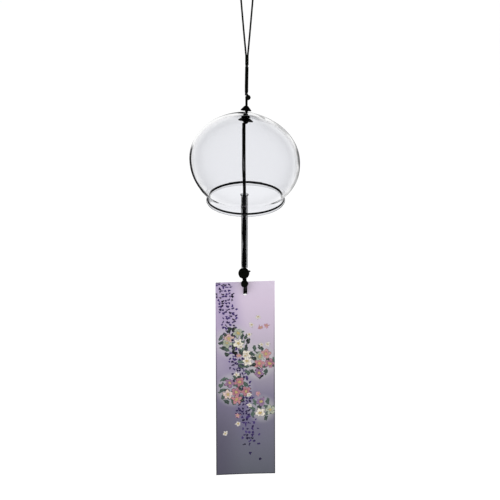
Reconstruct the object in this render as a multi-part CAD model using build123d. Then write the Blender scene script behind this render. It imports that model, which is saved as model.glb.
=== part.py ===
"""Furin wind bell: a blown glass bell with a glass clapper tube and a paper wind strip, on one doubled cord.

Millimetres, +Z up. The origin is the axis of the hook that holds the bight, so everything hangs below it.
"""
import math
import os

from build123d import *

# Cord
CORD_D = 1.05
CORD_SPACING = 0.96
CLEAR = 0.30
SEAM = 0.05

# Hanging loop
BIGHT_R = 5.2
BIGHT_END_Z = 0.0
BIGHT_LEG = 0.3
MEET_Z = -54.6
MEET_GAP = 0.55
STRAND_MEET_X = 0.56

# Knots: the wraps against the cord and the knot, and how far the core stands back from them
WRAP_OVER = 0.12
WRAP_SHARE = 0.32
CORE_BACK = 0.55

# Neck and top knot
TOP_KNOT_Z = -87.0
TOP_KNOT_R = 2.15
STUB_R = 0.9
STUB_END_Z = -100.15

# Outer cap
CAP_APEX_Z = -93.6
CAP_RIM_Z = -97.2
CAP_R = 3.85
CAP_BORE_R = 1.2
CAP_STEM_R = 1.55
CAP_STEM_Z = -99.75
CAP_EDGE = 0.55
CAP_CROWN = 0.45
CAP_SHOULDER_R = 2.39
CAP_SHOULDER_DROP = 1.35
CAP_UNDER_R = 2.77
CAP_UNDER_RISE = 0.35
CAP_ROOT_RISE = 0.75

# Glass bell
BELL_R = 39.4
BELL_UPPER = 33.0
BELL_LOWER = 35.0
EQUATOR_Z = -136.2
NECK_R = 27.3
NECK_BLEND = 4.0
NECK_FADE = 14.0
LIP_Z = -166.6
LIP_R = 1.15
WALL = 1.4
CROWN_RISE = 3.2
CROWN_SPREAD = 13.0
CORD_HOLE_R = 1.4

# Inner washer, inner cap and bearing knot
WASHER_R = 3.4
WASHER_TOP_Z = -101.95
WASHER_T = 1.2
WASHER_TOP_EDGE = 0.7
WASHER_LOW_EDGE = 0.5
WASHER_SIDE_TOP = 0.55
WASHER_SIDE_END = 0.85
INNER_CAP_R = 5.3
INNER_APEX_Z = -103.2
INNER_RIM_Z = -105.5
INNER_EDGE = 0.6
INNER_BORE_R = 1.12
INNER_CROWN_R = 2.3
INNER_SHOULDER_R = 3.82
INNER_SHOULDER_DROP = 0.85
INNER_LIP = 0.7
INNER_LIP_RISE = 0.1
INNER_UNDER_R = 3.29
INNER_UNDER_DROP = 1.35
INNER_SEAT_R = 1.9
INNER_SEAT_DROP = 0.78
INNER_T = 0.72
BEARING_Z = -105.95
BEARING_R = 1.9
BEARING_STUB_R = 1.03
BEARING_STUB_Z = -100.65

# Clapper
TUBE_R = 2.4
TUBE_BORE_R = 1.6
TUBE_FLARE_R = 3.0
TUBE_FLARE_H = 1.6
TUBE_FLARE_OUT = 0.2
TUBE_FLARE_AT = 0.88
TUBE_LIP_LOW = 0.45
TUBE_LIP_HIGH = 0.1
TUBE_EDGE = 0.25
TUBE_FUNNEL = 0.55
TUBE_FUNNEL_H = 0.9
TUBE_TOP_Z = -163.0
TUBE_END_Z = -219.95
BALL_Z = -224.6
BALL_R = 4.3
END_R = 0.6
END_REACH = 4.8
END_RISE = 17.0

# Wind strip
KNOT_Z = -232.9
KNOT_R = 2.7
STRIP_W = 42.5
STRIP_L = 149.5
STRIP_T = 0.35
STRIP_TOP_Z = -232.6
STRIP_HOLE_R = 1.35
STRIP_HOLE_BELOW = 9.15
STRIP_PLANE_Y = 3.25
STRIP_LEAN = 2.4
STRIP_YAW = 4.5
LOOP_RADII = [3.0, 0.78, 0.78, 0.95]
LOOP_OFF = 0.08
LOOP_TIGHT = 0.28
LOOP_OVER = 0.17
LOOP_START_Y = 0.25
LOOP_START_DROP = 1.5
LOOP_TURN_RISE = 1.75
LOOP_TURN_OUT = 0.1
LOOP_BACK_OUT = 0.05
LOOP_END_Y = 1.0
LINK_SHARE = 0.6

os.makedirs("parts", exist_ok=True)
CORD_R = CORD_D / 2


def at(x, y, z):
    return Location((x, y, z))


def ball(radius, z):
    return at(0, 0, z) * Sphere(radius)


def upright(radius, low, high):
    """A round rod along Z from low to high."""
    return at(0, 0, (low + high) / 2) * Cylinder(radius, high - low)


def doubled(low, high):
    """Two strands side by side along Z, pressed together."""
    half = CORD_SPACING / 2
    left = at(-half, 0, (low + high) / 2) * Cylinder(CORD_R, high - low)
    right = at(half, 0, (low + high) / 2) * Cylinder(CORD_R, high - low)
    return left + right


def knot(radius, z, turns):
    """A knot: a round core with cord wraps that end on one sphere, so that cords can swing round it."""
    wrap = min(CORD_R + WRAP_OVER, radius * WRAP_SHARE)
    body = ball(radius - wrap * CORE_BACK, z)
    for tilt, turn in turns:
        body += at(0, 0, z) * Rotation(tilt, 0, turn) * Torus(radius - wrap, wrap)
    return body


def revolved(points):
    """A solid of revolution about Z from a closed outline of (radius, z) points."""
    outline = Polyline(*[(r, 0, z) for r, z in points], close=True)
    return revolve(make_face(outline), Axis.Z, 360)


def tube_along(points, radii, radius):
    """A round cord along straight runs joined by tangent arcs."""
    line = FilletPolyline(*points, radius=radii)
    start = Plane(origin=line @ 0, z_dir=line % 0)
    return sweep(start * Circle(radius), path=line)


def save(name, solid):
    solid.label = name
    export_step(solid, f"parts/{name}.step")


# Hanging loop: the bight over the hook and the two strands down to the neck
strand_top = BIGHT_END_Z - CLEAR / 2
strand_end = MEET_Z + MEET_GAP / 2
bight_arc = ThreePointArc((BIGHT_R, 0, BIGHT_LEG), (0, 0, BIGHT_R + BIGHT_LEG), (-BIGHT_R, 0, BIGHT_LEG))
bight_start = Vector(BIGHT_R, 0, CLEAR / 2)
bight_end = Vector(-BIGHT_R, 0, CLEAR / 2)
bight_line = Line(bight_start, bight_arc @ 0) + bight_arc + Line(bight_arc @ 1, bight_end)
bight = sweep(Plane(origin=bight_start, z_dir=(0, 0, 1)) * Circle(CORD_R), path=bight_line)
save("hanging_bight", bight)


def loop_strand(side):
    top = Vector(side * BIGHT_R, 0, strand_top)
    end = Vector(side * STRAND_MEET_X, 0, strand_end)
    long = (top - end).length
    return Plane(origin=(top + end) / 2, z_dir=top - end) * Cylinder(CORD_R, long)


save("loop_strand_left", loop_strand(-1))
save("loop_strand_right", loop_strand(1))

# Neck: the two strands together, and the knot above the cap with the cord that runs on through it
save("neck_cord", doubled(TOP_KNOT_Z + TOP_KNOT_R + SEAM, MEET_Z - MEET_GAP / 2))
top_knot = knot(TOP_KNOT_R, TOP_KNOT_Z, [(35, 0), (-40, 25), (90, 60)])
top_knot += upright(STUB_R, STUB_END_Z, TOP_KNOT_Z)
save("top_knot", top_knot)

# Outer cap: an umbrella with a short stem that stands on the glass
outer_cap = revolved(
    [
        (CAP_BORE_R, CAP_APEX_Z),
        (CAP_BORE_R + CAP_CROWN, CAP_APEX_Z),
        (CAP_SHOULDER_R, CAP_APEX_Z - CAP_SHOULDER_DROP),
        (CAP_R, CAP_RIM_Z + CAP_EDGE),
        (CAP_R, CAP_RIM_Z),
        (CAP_UNDER_R, CAP_RIM_Z + CAP_UNDER_RISE),
        (CAP_STEM_R, CAP_RIM_Z + CAP_ROOT_RISE),
        (CAP_STEM_R, CAP_STEM_Z),
        (CAP_BORE_R, CAP_STEM_Z),
    ]
)
save("outer_cap", outer_cap)


# Glass bell: a flattened globe, drawn up to the cord hole and drawn in to a short neck with a rounded lip
def upper_point(angle):
    """A point on the outside of the globe's upper half, angle in degrees down from the crown."""
    a = math.radians(angle)
    r = BELL_R * math.sin(a)
    rise = CROWN_RISE * math.exp(-((r / CROWN_SPREAD) ** 2))
    return r, EQUATOR_Z + BELL_UPPER * math.cos(a) + rise


def lower_point(fall):
    """A point on the outside of the lower half, fall in millimetres below the equator."""
    globe = BELL_R * math.sqrt(max(0.0, 1 - (fall / BELL_LOWER) ** 2))
    gap = globe - NECK_R
    share = min(1.0, fall / NECK_FADE)
    share = share * share * (3 - 2 * share)
    return globe + (math.hypot(gap, NECK_BLEND) - gap) / 2 * share, EQUATOR_Z - fall


def inset(points, depth):
    """The same line, moved inwards by depth at right angles to itself."""
    moved = []
    for i, (r, z) in enumerate(points):
        before = points[max(i - 1, 0)]
        after = points[min(i + 1, len(points) - 1)]
        across = after[0] - before[0]
        down = before[1] - after[1]
        size = math.hypot(across, down)
        moved.append((r - depth * down / size, z - depth * across / size))
    return moved


first_angle = math.degrees(math.asin(CORD_HOLE_R / BELL_R))
upper_steps = 14
lower_steps = 14
outside = [upper_point(first_angle + (90 - first_angle) * i / upper_steps) for i in range(upper_steps + 1)]
outside += [lower_point((EQUATOR_Z - LIP_Z) * (i + 1) / lower_steps) for i in range(lower_steps)]
inside = inset(outside, WALL)
inside[0] = (CORD_HOLE_R, inside[0][1])
outer_line = Spline(*[(r, 0, z) for r, z in outside])
inner_line = Spline(*[(r, 0, z) for r, z in inside])
mouth_edge = Line(outer_line @ 1, inner_line @ 1)
hole_edge = Line(inner_line @ 0, outer_line @ 0)
shell = revolve(make_face([outer_line, mouth_edge, inner_line, hole_edge]), Axis.Z, 360)
lip_r = (outside[-1][0] + inside[-1][0]) / 2
lip_z = (outside[-1][1] + inside[-1][1]) / 2
lip = at(0, 0, lip_z) * Torus(lip_r, LIP_R)
save("glass_bell", shell + lip)
print("mouth radius, mm:", round(lip_r - LIP_R, 2))

# Inner washer, inner cap and the knot that carries them
save(
    "inner_washer",
    revolved(
        [
            (INNER_BORE_R, WASHER_TOP_Z),
            (WASHER_R - WASHER_TOP_EDGE, WASHER_TOP_Z),
            (WASHER_R, WASHER_TOP_Z - WASHER_SIDE_TOP),
            (WASHER_R, WASHER_TOP_Z - WASHER_SIDE_END),
            (WASHER_R - WASHER_LOW_EDGE, WASHER_TOP_Z - WASHER_T),
            (INNER_BORE_R, WASHER_TOP_Z - WASHER_T),
        ]
    ),
)
inner_cap = revolved(
    [
        (INNER_BORE_R, INNER_APEX_Z),
        (INNER_CROWN_R, INNER_APEX_Z),
        (INNER_SHOULDER_R, INNER_APEX_Z - INNER_SHOULDER_DROP),
        (INNER_CAP_R, INNER_RIM_Z + INNER_EDGE),
        (INNER_CAP_R, INNER_RIM_Z),
        (INNER_CAP_R - INNER_LIP, INNER_RIM_Z + INNER_LIP_RISE),
        (INNER_UNDER_R, INNER_APEX_Z - INNER_UNDER_DROP),
        (INNER_SEAT_R, INNER_APEX_Z - INNER_SEAT_DROP),
        (INNER_BORE_R, INNER_APEX_Z - INNER_T),
    ]
)
save("inner_cap", inner_cap)
bearing = knot(BEARING_R, BEARING_Z, [(30, 0), (-35, 80), (90, 40)])
bearing += upright(BEARING_STUB_R, BEARING_Z, BEARING_STUB_Z)
save("bearing_knot", bearing)

# Clapper: the two strands inside the bell and the tube, the tube, and the knot that carries the tube
clapper_cord = doubled(BALL_Z + BALL_R + SEAM, BEARING_Z)
clapper_cord -= ball(BEARING_R + CLEAR, BEARING_Z)
save("clapper_cord", clapper_cord)

clapper_tube = revolved(
    [
        (TUBE_BORE_R, TUBE_END_Z),
        (TUBE_R - TUBE_EDGE, TUBE_END_Z),
        (TUBE_R, TUBE_END_Z + TUBE_EDGE),
        (TUBE_R, TUBE_TOP_Z - TUBE_FLARE_H),
        (TUBE_R + TUBE_FLARE_OUT, TUBE_TOP_Z - TUBE_FLARE_AT),
        (TUBE_FLARE_R, TUBE_TOP_Z - TUBE_LIP_LOW),
        (TUBE_FLARE_R, TUBE_TOP_Z - TUBE_LIP_HIGH),
        (TUBE_FLARE_R - TUBE_EDGE, TUBE_TOP_Z),
        (TUBE_BORE_R + TUBE_FUNNEL, TUBE_TOP_Z),
        (TUBE_BORE_R, TUBE_TOP_Z - TUBE_FUNNEL_H),
    ]
)
save("clapper_tube", clapper_tube)
ball_knot = knot(BALL_R, BALL_Z, [(20, 0), (65, 40), (-50, 75), (90, 110), (-75, 150)])
cord_end = at(END_REACH / 2, 0, 0) * Rotation(0, 90, 0) * Cylinder(END_R, END_REACH)
ball_knot += at(0, 0, BALL_Z) * Rotation(0, -END_RISE, 0) * cord_end
save("ball_knot", ball_knot)

# Wind strip, its knot and the doubled cord through its hole
strip_knot = knot(KNOT_R, KNOT_Z, [(40, 0), (-35, 60), (85, 120)])
strip_knot += doubled(KNOT_Z + KNOT_R * LINK_SHARE, BALL_Z - BALL_R - CLEAR)
save("strip_knot", strip_knot.rotate(Axis.Z, STRIP_YAW))

lean = Axis((0, 0, KNOT_Z), (1, 0, 0))
hole_z = STRIP_TOP_Z - STRIP_HOLE_BELOW
strip = at(0, STRIP_PLANE_Y, STRIP_TOP_Z - STRIP_L / 2) * Box(STRIP_W, STRIP_T, STRIP_L)
strip -= at(0, STRIP_PLANE_Y, hole_z) * Rotation(90, 0, 0) * Cylinder(STRIP_HOLE_R, 4 * STRIP_T)
save("wind_strip", strip.rotate(lean, -STRIP_LEAN).rotate(Axis.Z, STRIP_YAW))

front = STRIP_PLANE_Y - STRIP_T / 2 - CORD_R - LOOP_OFF
back = STRIP_PLANE_Y + STRIP_T / 2 + CORD_R + LOOP_OFF
through_z = hole_z + STRIP_HOLE_R - CORD_R - LOOP_TIGHT
over_z = STRIP_TOP_Z + CORD_R + LOOP_OVER
print("strip loop bend radii, mm:", LOOP_RADII)
strip_loop = None
for side in (-1, 1):
    x = side * CORD_SPACING / 2
    strand = tube_along(
        [
            (x, LOOP_START_Y, KNOT_Z - LOOP_START_DROP),
            (x, front - LOOP_TURN_OUT, through_z + LOOP_TURN_RISE),
            (x, front, through_z),
            (x, back, through_z),
            (x, back + LOOP_BACK_OUT, over_z),
            (x, LOOP_END_Y, over_z),
        ],
        LOOP_RADII,
        CORD_R,
    )
    strip_loop = strand if strip_loop is None else strip_loop + strand
strip_loop -= ball(KNOT_R + CLEAR, KNOT_Z)
save("strip_loop", strip_loop.rotate(lean, -STRIP_LEAN).rotate(Axis.Z, STRIP_YAW))
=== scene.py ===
"""Visual model of a furin wind bell: blown glass, black cord, a clapper tube and a paper strip.

Places are in the row frame, in metres. The origin is on the hook's axis, +Z is up, and the
photograph looks along +Y.
"""

import logging
import math
from dataclasses import dataclass, field
from enum import Enum

import bpy
import numpy as np
from mathutils import Matrix, Vector

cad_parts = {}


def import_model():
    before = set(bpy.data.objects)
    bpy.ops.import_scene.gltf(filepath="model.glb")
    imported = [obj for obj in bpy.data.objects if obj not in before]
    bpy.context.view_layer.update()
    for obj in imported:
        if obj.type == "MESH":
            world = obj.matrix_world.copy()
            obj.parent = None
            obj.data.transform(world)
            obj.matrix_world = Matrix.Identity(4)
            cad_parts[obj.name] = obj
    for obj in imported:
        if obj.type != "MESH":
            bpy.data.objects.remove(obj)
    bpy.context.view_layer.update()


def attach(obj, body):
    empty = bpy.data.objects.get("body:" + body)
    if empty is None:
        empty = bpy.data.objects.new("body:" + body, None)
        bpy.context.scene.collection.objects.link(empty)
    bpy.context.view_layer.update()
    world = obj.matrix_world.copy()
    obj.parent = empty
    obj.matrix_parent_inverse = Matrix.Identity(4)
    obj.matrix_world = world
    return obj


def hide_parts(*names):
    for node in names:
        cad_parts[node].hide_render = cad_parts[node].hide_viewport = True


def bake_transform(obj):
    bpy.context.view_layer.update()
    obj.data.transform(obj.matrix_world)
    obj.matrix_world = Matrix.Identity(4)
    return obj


LOG = logging.getLogger("wind_bell")
MM = 0.001
TURN = 2 * math.pi

# Cord
STRAND_R = 0.54 * MM
MEET_Z = -54.6 * MM
TOP_KNOT_Z = -87.0 * MM
BEARING_Z = -105.95 * MM
BALL_Z = -224.6 * MM
STRIP_KNOT_Z = -232.9 * MM
HANG_X = 0.6 * MM
CLAPPER_X = -0.8 * MM

# Wind strip
STRIP_W = 42.5 * MM
STRIP_L = 149.5 * MM
STRIP_T = 0.35 * MM
STRIP_X = -0.2 * MM
STRIP_PLANE_Y = 3.25 * MM
STRIP_TOP_Z = -232.6 * MM
STRIP_HOLE_R = 1.4 * MM
STRIP_HOLE_BELOW = 9.15 * MM
STRIP_LEAN = math.radians(-2.4)
STRIP_YAW = math.radians(4.5)

Colour = tuple[float, float, float, float]
Point = tuple[float, float, float]
Span = tuple[float, float]
Outline = tuple[tuple[float, float], ...]
Change = tuple[float, float, float]
Triple = tuple[float, float, float]
Stops = tuple[tuple[float, Colour], ...]
Face = tuple[int, ...]
Material = bpy.types.Material
Node = bpy.types.Node
Outputs = bpy.types.bpy_prop_collection
Piece = bpy.types.Object
Socket = bpy.types.NodeSocket

WHITE: Colour = (1.0, 1.0, 1.0, 1.0)

# Edges that turn by more degrees than these stay sharp
CRISP = 40.0
ALL_SMOOTH = 180.0


def srgb(red: int, green: int, blue: int) -> Colour:
    """Turns a display colour into the linear colour that a shader takes.

    Args:
        red: Red from 0 to 255.
        green: Green from 0 to 255.
        blue: Blue from 0 to 255.

    Returns:
        The linear colour with full alpha.
    """
    linear = []
    for value in (red, green, blue):
        share = value / 255
        linear.append(share / 12.92 if share <= 0.04045 else ((share + 0.055) / 1.055) ** 2.4)
    return (linear[0], linear[1], linear[2], 1.0)


def smooth(low: float, high: float, value: np.ndarray | float) -> np.ndarray | float:
    """A smooth step from 0 at low to 1 at high."""
    share = np.clip((value - low) / (high - low), 0.0, 1.0)
    return share * share * (3.0 - 2.0 * share)


def eased(start: float, changes: tuple[Change, ...], at: np.ndarray) -> np.ndarray:
    """A value that changes smoothly on its way.

    Args:
        start: The value before all changes.
        changes: How much each change adds, and the places where it begins and ends.
        at: The places at which the value is wanted.

    Returns:
        The value at each place.
    """
    value = np.full(len(at), start)
    for amount, begins, ends in changes:
        value = value + amount * smooth(begins, ends, at)
    return value


@dataclass
class Shape:
    """Points, faces and texture places of one piece, collected part by part."""

    points: list[Point] = field(default_factory=list)
    faces: list[Face] = field(default_factory=list)
    places: list[tuple[float, float]] = field(default_factory=list)

    def add(self, points: np.ndarray, faces: list[Face], places: np.ndarray | None = None) -> "Shape":
        """Adds a part.

        Args:
            points: The part's points, one row each.
            faces: The part's faces, counted from its own first point.
            places: Texture places, one row per point, or None for none.

        Returns:
            The shape itself.
        """
        first = len(self.points)
        given = np.zeros((len(points), 2)) if places is None else places
        self.points += [tuple(map(float, p)) for p in points]
        self.faces += [tuple(first + i for i in f) for f in faces]
        self.places += [tuple(map(float, p)) for p in given]
        return self

    def build(self, name: str, finish: Material, sharp_degrees: float = 50.0) -> Piece:
        """Makes the Blender object.

        Args:
            name: The piece's name.
            finish: Its material.
            sharp_degrees: Edges that turn more than this stay sharp.

        Returns:
            The new mesh object, linked to the scene.
        """
        mesh = bpy.data.meshes.new(name)
        mesh.from_pydata(self.points, [], self.faces)
        layer = mesh.uv_layers.new(name="place")
        for loop in mesh.loops:
            layer.data[loop.index].uv = self.places[loop.vertex_index]
        mesh.shade_smooth()
        mesh.set_sharp_from_angle(angle=math.radians(sharp_degrees))
        mesh.materials.append(finish)
        made = bpy.data.objects.new(name, mesh)
        bpy.context.scene.collection.objects.link(made)
        return made


def joined(*shapes: Shape) -> Shape:
    """Several shapes as one.

    Args:
        *shapes: The shapes, in order.

    Returns:
        One shape that holds them all.
    """
    whole = Shape()
    for one in shapes:
        whole.add(np.array(one.points), one.faces, np.array(one.places))
    return whole


def dress(piece: Piece, body: str, node: str) -> Piece:
    """Says what a rigid piece belongs to.

    Args:
        piece: The piece.
        body: The body that it rides on.
        node: The node that it stands for.

    Returns:
        The piece.
    """
    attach(piece, body)
    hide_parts(node)
    return piece


def lathe(profile: np.ndarray, segments: int) -> tuple[np.ndarray, list[Face]]:
    """Turns a closed outline about Z.

    Args:
        profile: (radius, height) rows, in order round the section, either way.
        segments: Steps round the axis.

    Returns:
        The points and the faces.
    """
    following = np.roll(profile, -1, axis=0)
    if (profile[:, 0] * following[:, 1] - following[:, 0] * profile[:, 1]).sum() < 0:
        profile = profile[::-1]
    count = len(profile)
    turn = (np.arange(segments) * TURN / segments)[:, None]
    radius, height = profile[:, 0][None], np.repeat(profile[:, 1][None], segments, axis=0)
    points = np.stack([radius * np.cos(turn), radius * np.sin(turn), height], axis=2).reshape(-1, 3)
    faces = []
    for i in range(segments):
        here, there = i * count, (i + 1) % segments * count
        for k in range(count):
            n = (k + 1) % count
            faces.append((here + k, there + k, there + n, here + n))
    return points, faces


def rounded(corners: Outline, radius: float, steps: int) -> np.ndarray:
    """A closed outline with its corners rounded off.

    Args:
        corners: (radius, height) of each corner, in millimetres.
        radius: How far from each corner the rounding starts, in millimetres.
        steps: Points on each rounded corner.

    Returns:
        The outline in metres.
    """
    most = 0.45
    out = []
    given = [Vector(c) for c in corners]
    for i, corner in enumerate(given):
        before, after = given[i - 1] - corner, given[(i + 1) % len(given)] - corner
        start = corner + before * min(most, radius / before.length)
        end = corner + after * min(most, radius / after.length)
        for k in range(steps + 1):
            t = k / steps
            out.append((1 - t) ** 2 * start + 2 * t * (1 - t) * corner + t * t * end)
    return np.array([tuple(p) for p in out]) * MM


def route(points: list[Point]) -> np.ndarray:
    """The points of a smooth line that is drawn in by its control points.

    Args:
        points: The control points, in metres.

    Returns:
        The line's points, one row each.
    """
    curve = bpy.data.curves.new("route", "CURVE")
    curve.dimensions = "3D"
    curve.resolution_u = 10
    spline = curve.splines.new("NURBS")
    spline.points.add(len(points) - 1)
    for place, point in zip(spline.points, points):
        place.co = (*point, 1.0)
    spline.order_u = 3
    spline.use_endpoint_u = True
    holder = bpy.data.objects.new("route", curve)
    mesh = bpy.data.meshes.new_from_object(holder)
    line = np.array([v.co[:] for v in mesh.vertices], float)
    bpy.data.meshes.remove(mesh)
    bpy.data.objects.remove(holder)
    bpy.data.curves.remove(curve)
    return line


def run(line: np.ndarray) -> np.ndarray:
    """How far along the line each of its points is."""
    return np.concatenate([[0], np.cumsum(np.linalg.norm(np.diff(line, axis=0), axis=1))])


def spaced(line: np.ndarray, step: float) -> np.ndarray:
    """The line again, with its points about one step apart.

    Args:
        line: The line's points, one row each.
        step: How far apart they should be.

    Returns:
        The new points.
    """
    along = run(line)
    at = np.linspace(0, along[-1], max(2, round(along[-1] / step) + 1))
    return np.stack([np.interp(at, along, line[:, k]) for k in range(3)], axis=1)


def upright(across: np.ndarray | float, height: np.ndarray) -> np.ndarray:
    """The points of an upright line at the given heights."""
    return np.stack([np.broadcast_to(across, height.shape), np.zeros(len(height)), height], axis=1)


def tube(line: np.ndarray, radius: float, sides: int = 12, closed: bool = False) -> Shape:
    """A round strand along a line, with texture places along and around it.

    Args:
        line: The line's points, one row each.
        radius: The strand's radius.
        sides: Steps round the strand.
        closed: True if the line's end joins its start.

    Returns:
        The strand.
    """
    line = np.vstack([line, line[:1]]) if closed else line
    count, row = len(line), sides + 1
    ahead = np.roll(line, -1, axis=0) - np.roll(line, 1, axis=0)
    if closed:
        ahead[0] = ahead[-1] = line[1] - line[-2]
    else:
        ahead[0], ahead[-1] = line[1] - line[0], line[-1] - line[-2]
    ahead /= np.linalg.norm(ahead, axis=1)[:, None]
    along_y = 0.9
    side = np.cross(ahead[0], (0.0, 1.0, 0.0) if abs(ahead[0][1]) < along_y else (1.0, 0.0, 0.0))
    across = np.empty_like(ahead)
    for i, direction in enumerate(ahead):
        side = side - direction * (side @ direction)
        side /= np.linalg.norm(side)
        across[i] = side
    up = np.cross(ahead, across)
    turn = np.linspace(0, TURN, row)
    ring = across[:, None] * np.cos(turn)[None, :, None] + up[:, None] * np.sin(turn)[None, :, None]
    points = (line[:, None] + radius * ring).reshape(-1, 3)
    places = np.stack(np.meshgrid(turn / TURN, run(line) / MM), axis=2).reshape(-1, 2)
    faces = [
        (i * row + k, i * row + k + 1, (i + 1) * row + k + 1, (i + 1) * row + k)
        for i in range(count - 1)
        for k in range(sides)
    ]
    if not closed:
        faces.append(tuple(range(sides))[::-1])
        faces.append(tuple((count - 1) * row + k for k in range(sides)))
    return Shape().add(points, faces, places)


def pair(line: np.ndarray, spread: np.ndarray | float, phase: np.ndarray, radius: float) -> Shape:
    """Two strands that wind round an upright line.

    Args:
        line: The line's points, one row each.
        spread: How far each strand is from the line, everywhere or at each point.
        phase: The turn of the first strand about the line, at each point.
        radius: Each strand's radius.

    Returns:
        Both strands.
    """
    aside = np.stack([np.cos(phase), np.sin(phase), np.zeros(len(phase))], axis=1)
    offset = aside * np.reshape(spread, (-1, 1))
    return joined(tube(line + offset, radius), tube(line - offset, radius))


def ball(radius: float, centre: Point, rings: int = 20, segments: int = 32) -> Shape:
    """A plain sphere.

    Args:
        radius: Its radius.
        centre: Where it lies.
        rings: Steps from pole to pole.
        segments: Steps round it.

    Returns:
        The sphere.
    """
    angle = np.linspace(0, math.pi, rings + 1)[1:-1]
    turn = np.arange(segments) * TURN / segments
    grid = np.stack(
        [
            np.outer(np.sin(angle), np.cos(turn)),
            np.outer(np.sin(angle), np.sin(turn)),
            np.outer(np.cos(angle), np.ones(segments)),
        ],
        axis=2,
    ).reshape(-1, 3)
    points = np.vstack([grid, [[0, 0, 1], [0, 0, -1]]]) * radius + np.array(centre)
    top, bottom, last = len(grid), len(grid) + 1, (rings - 2) * segments
    faces = []
    for k in range(segments):
        n = (k + 1) % segments
        faces.append((top, k, n))
        faces.append((bottom, last + n, last + k))
        for here in range(0, last, segments):
            there = here + segments
            faces.append((here + k, there + k, there + n, here + n))
    return Shape().add(points, faces)


def rotation(first: tuple[float, str], second: tuple[float, str]) -> np.ndarray:
    """Two turns about axes, in degrees, as a matrix for rows of points. The second is made first."""
    turns = [Matrix.Rotation(math.radians(degrees), 3, axis) for degrees, axis in (first, second)]
    return np.array(turns[0] @ turns[1]).T


@dataclass
class Graph:
    """Short calls that add and join the nodes of one node tree."""

    tree: bpy.types.NodeTree

    def node(self, kind: str, **settings: object) -> Node:
        """Adds a node and sets its properties.

        Args:
            kind: The node's type.
            **settings: Its properties by name.

        Returns:
            The node.
        """
        made = self.tree.nodes.new(kind)
        for name, value in settings.items():
            setattr(made, name, value)
        return made

    def put(self, value: object, socket: Socket) -> None:
        """Joins an output to a socket, or sets the socket to a plain value.

        Args:
            value: An output or a plain value.
            socket: The input that gets it.
        """
        if isinstance(value, Socket):
            self.tree.links.new(value, socket)
        else:
            socket.default_value = value

    def fed(self, made: Node, **values: object) -> Node:
        """Gives a node's named inputs.

        Args:
            made: The node.
            **values: Outputs or plain values by the input's name.

        Returns:
            The node.
        """
        for name, value in values.items():
            self.put(value, made.inputs[name])
        return made

    def math(self, operation: str, *values: object, clamp: bool = False) -> Socket:
        """A Math node's result.

        Args:
            operation: What it works out.
            *values: Its inputs in order, as outputs or plain values.
            clamp: True if the result is kept from 0 to 1.

        Returns:
            The result.
        """
        made = self.node("ShaderNodeMath", operation=operation, use_clamp=clamp)
        for value, socket in zip(values, made.inputs):
            self.put(value, socket)
        return made.outputs[0]

    def times(self, first: object, *others: object) -> Socket:
        """The product of all the values.

        Args:
            first: The first value.
            *others: The values to multiply it by, in order.

        Returns:
            The product.
        """
        for other in others:
            first = self.math("MULTIPLY", first, other)
        return first

    def vector(self, operation: str, *values: object, out: str = "Vector") -> Socket:
        """A Vector Math node's result.

        Args:
            operation: What it works out.
            *values: Its inputs in order, as outputs or plain values.
            out: Vector, or Value where the result is a number.

        Returns:
            The result.
        """
        made = self.node("ShaderNodeVectorMath", operation=operation)
        for value, socket in zip(values, made.inputs):
            self.put(value, socket)
        return made.outputs[out]

    def axes(self, vector: Socket) -> Outputs:
        """A vector's parts, by the names X, Y and Z."""
        return self.fed(self.node("ShaderNodeSeparateXYZ"), Vector=vector).outputs

    def point(self, **parts: object) -> Socket:
        """A vector from its parts X, Y and Z."""
        return self.fed(self.node("ShaderNodeCombineXYZ"), **parts).outputs[0]

    def mix(self, share: object, first: object, second: object, blend: str = "MIX") -> Socket:
        """A colour between two colours.

        Args:
            share: How much of the second colour there is.
            first: The first colour.
            second: The second colour.
            blend: How they are blended.

        Returns:
            The colour.
        """
        made = self.node("ShaderNodeMix", data_type="RGBA", blend_type=blend)
        for value, name in ((share, "Factor_Float"), (first, "A_Color"), (second, "B_Color")):
            self.put(value, next(s for s in made.inputs if s.identifier == name))
        return next(s for s in made.outputs if s.identifier == "Result_Color")

    def step(self, value: object, low: object, high: object) -> Socket:
        """A smooth step from 0 at low to 1 at high.

        Args:
            value: The value.
            low: Where the step begins.
            high: Where the step ends.

        Returns:
            The step's height.
        """
        made = self.node("ShaderNodeMapRange", interpolation_type="SMOOTHSTEP")
        for given, name in ((value, "Value"), (low, "From Min"), (high, "From Max")):
            self.put(given, made.inputs[name])
        return made.outputs["Result"]

    def fade(self, value: object, low: object, high: object) -> Socket:
        """A smooth step from 1 at low to 0 at high."""
        return self.math("SUBTRACT", 1.0, self.step(value, low, high))

    def ramp(self, value: object, stops: Stops) -> Socket:
        """A colour ramp.

        Args:
            value: The place on the ramp.
            stops: The place and colour of each stop.

        Returns:
            The colour.
        """
        made = self.node("ShaderNodeValToRGB")
        line = made.color_ramp
        line.elements[0].position, line.elements[0].color = stops[0]
        line.elements[1].position, line.elements[1].color = stops[-1]
        for place, colour in stops[1:-1]:
            line.elements.new(place).color = colour
        self.put(value, made.inputs[0])
        return made.outputs[0]

    def noise(self, place: Socket, scale: float, detail: float) -> Node:
        """A flat noise."""
        made = self.node("ShaderNodeTexNoise", noise_dimensions="2D")
        return self.fed(made, Vector=place, Scale=scale, Detail=detail)

    def relief(self, height: Socket, strength: float, distance: float, main: Node) -> None:
        """Gives the main shader a fine relief."""
        made = self.fed(self.node("ShaderNodeBump"), Strength=strength, Distance=distance, Height=height)
        self.put(made.outputs[0], main.inputs["Normal"])


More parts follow.
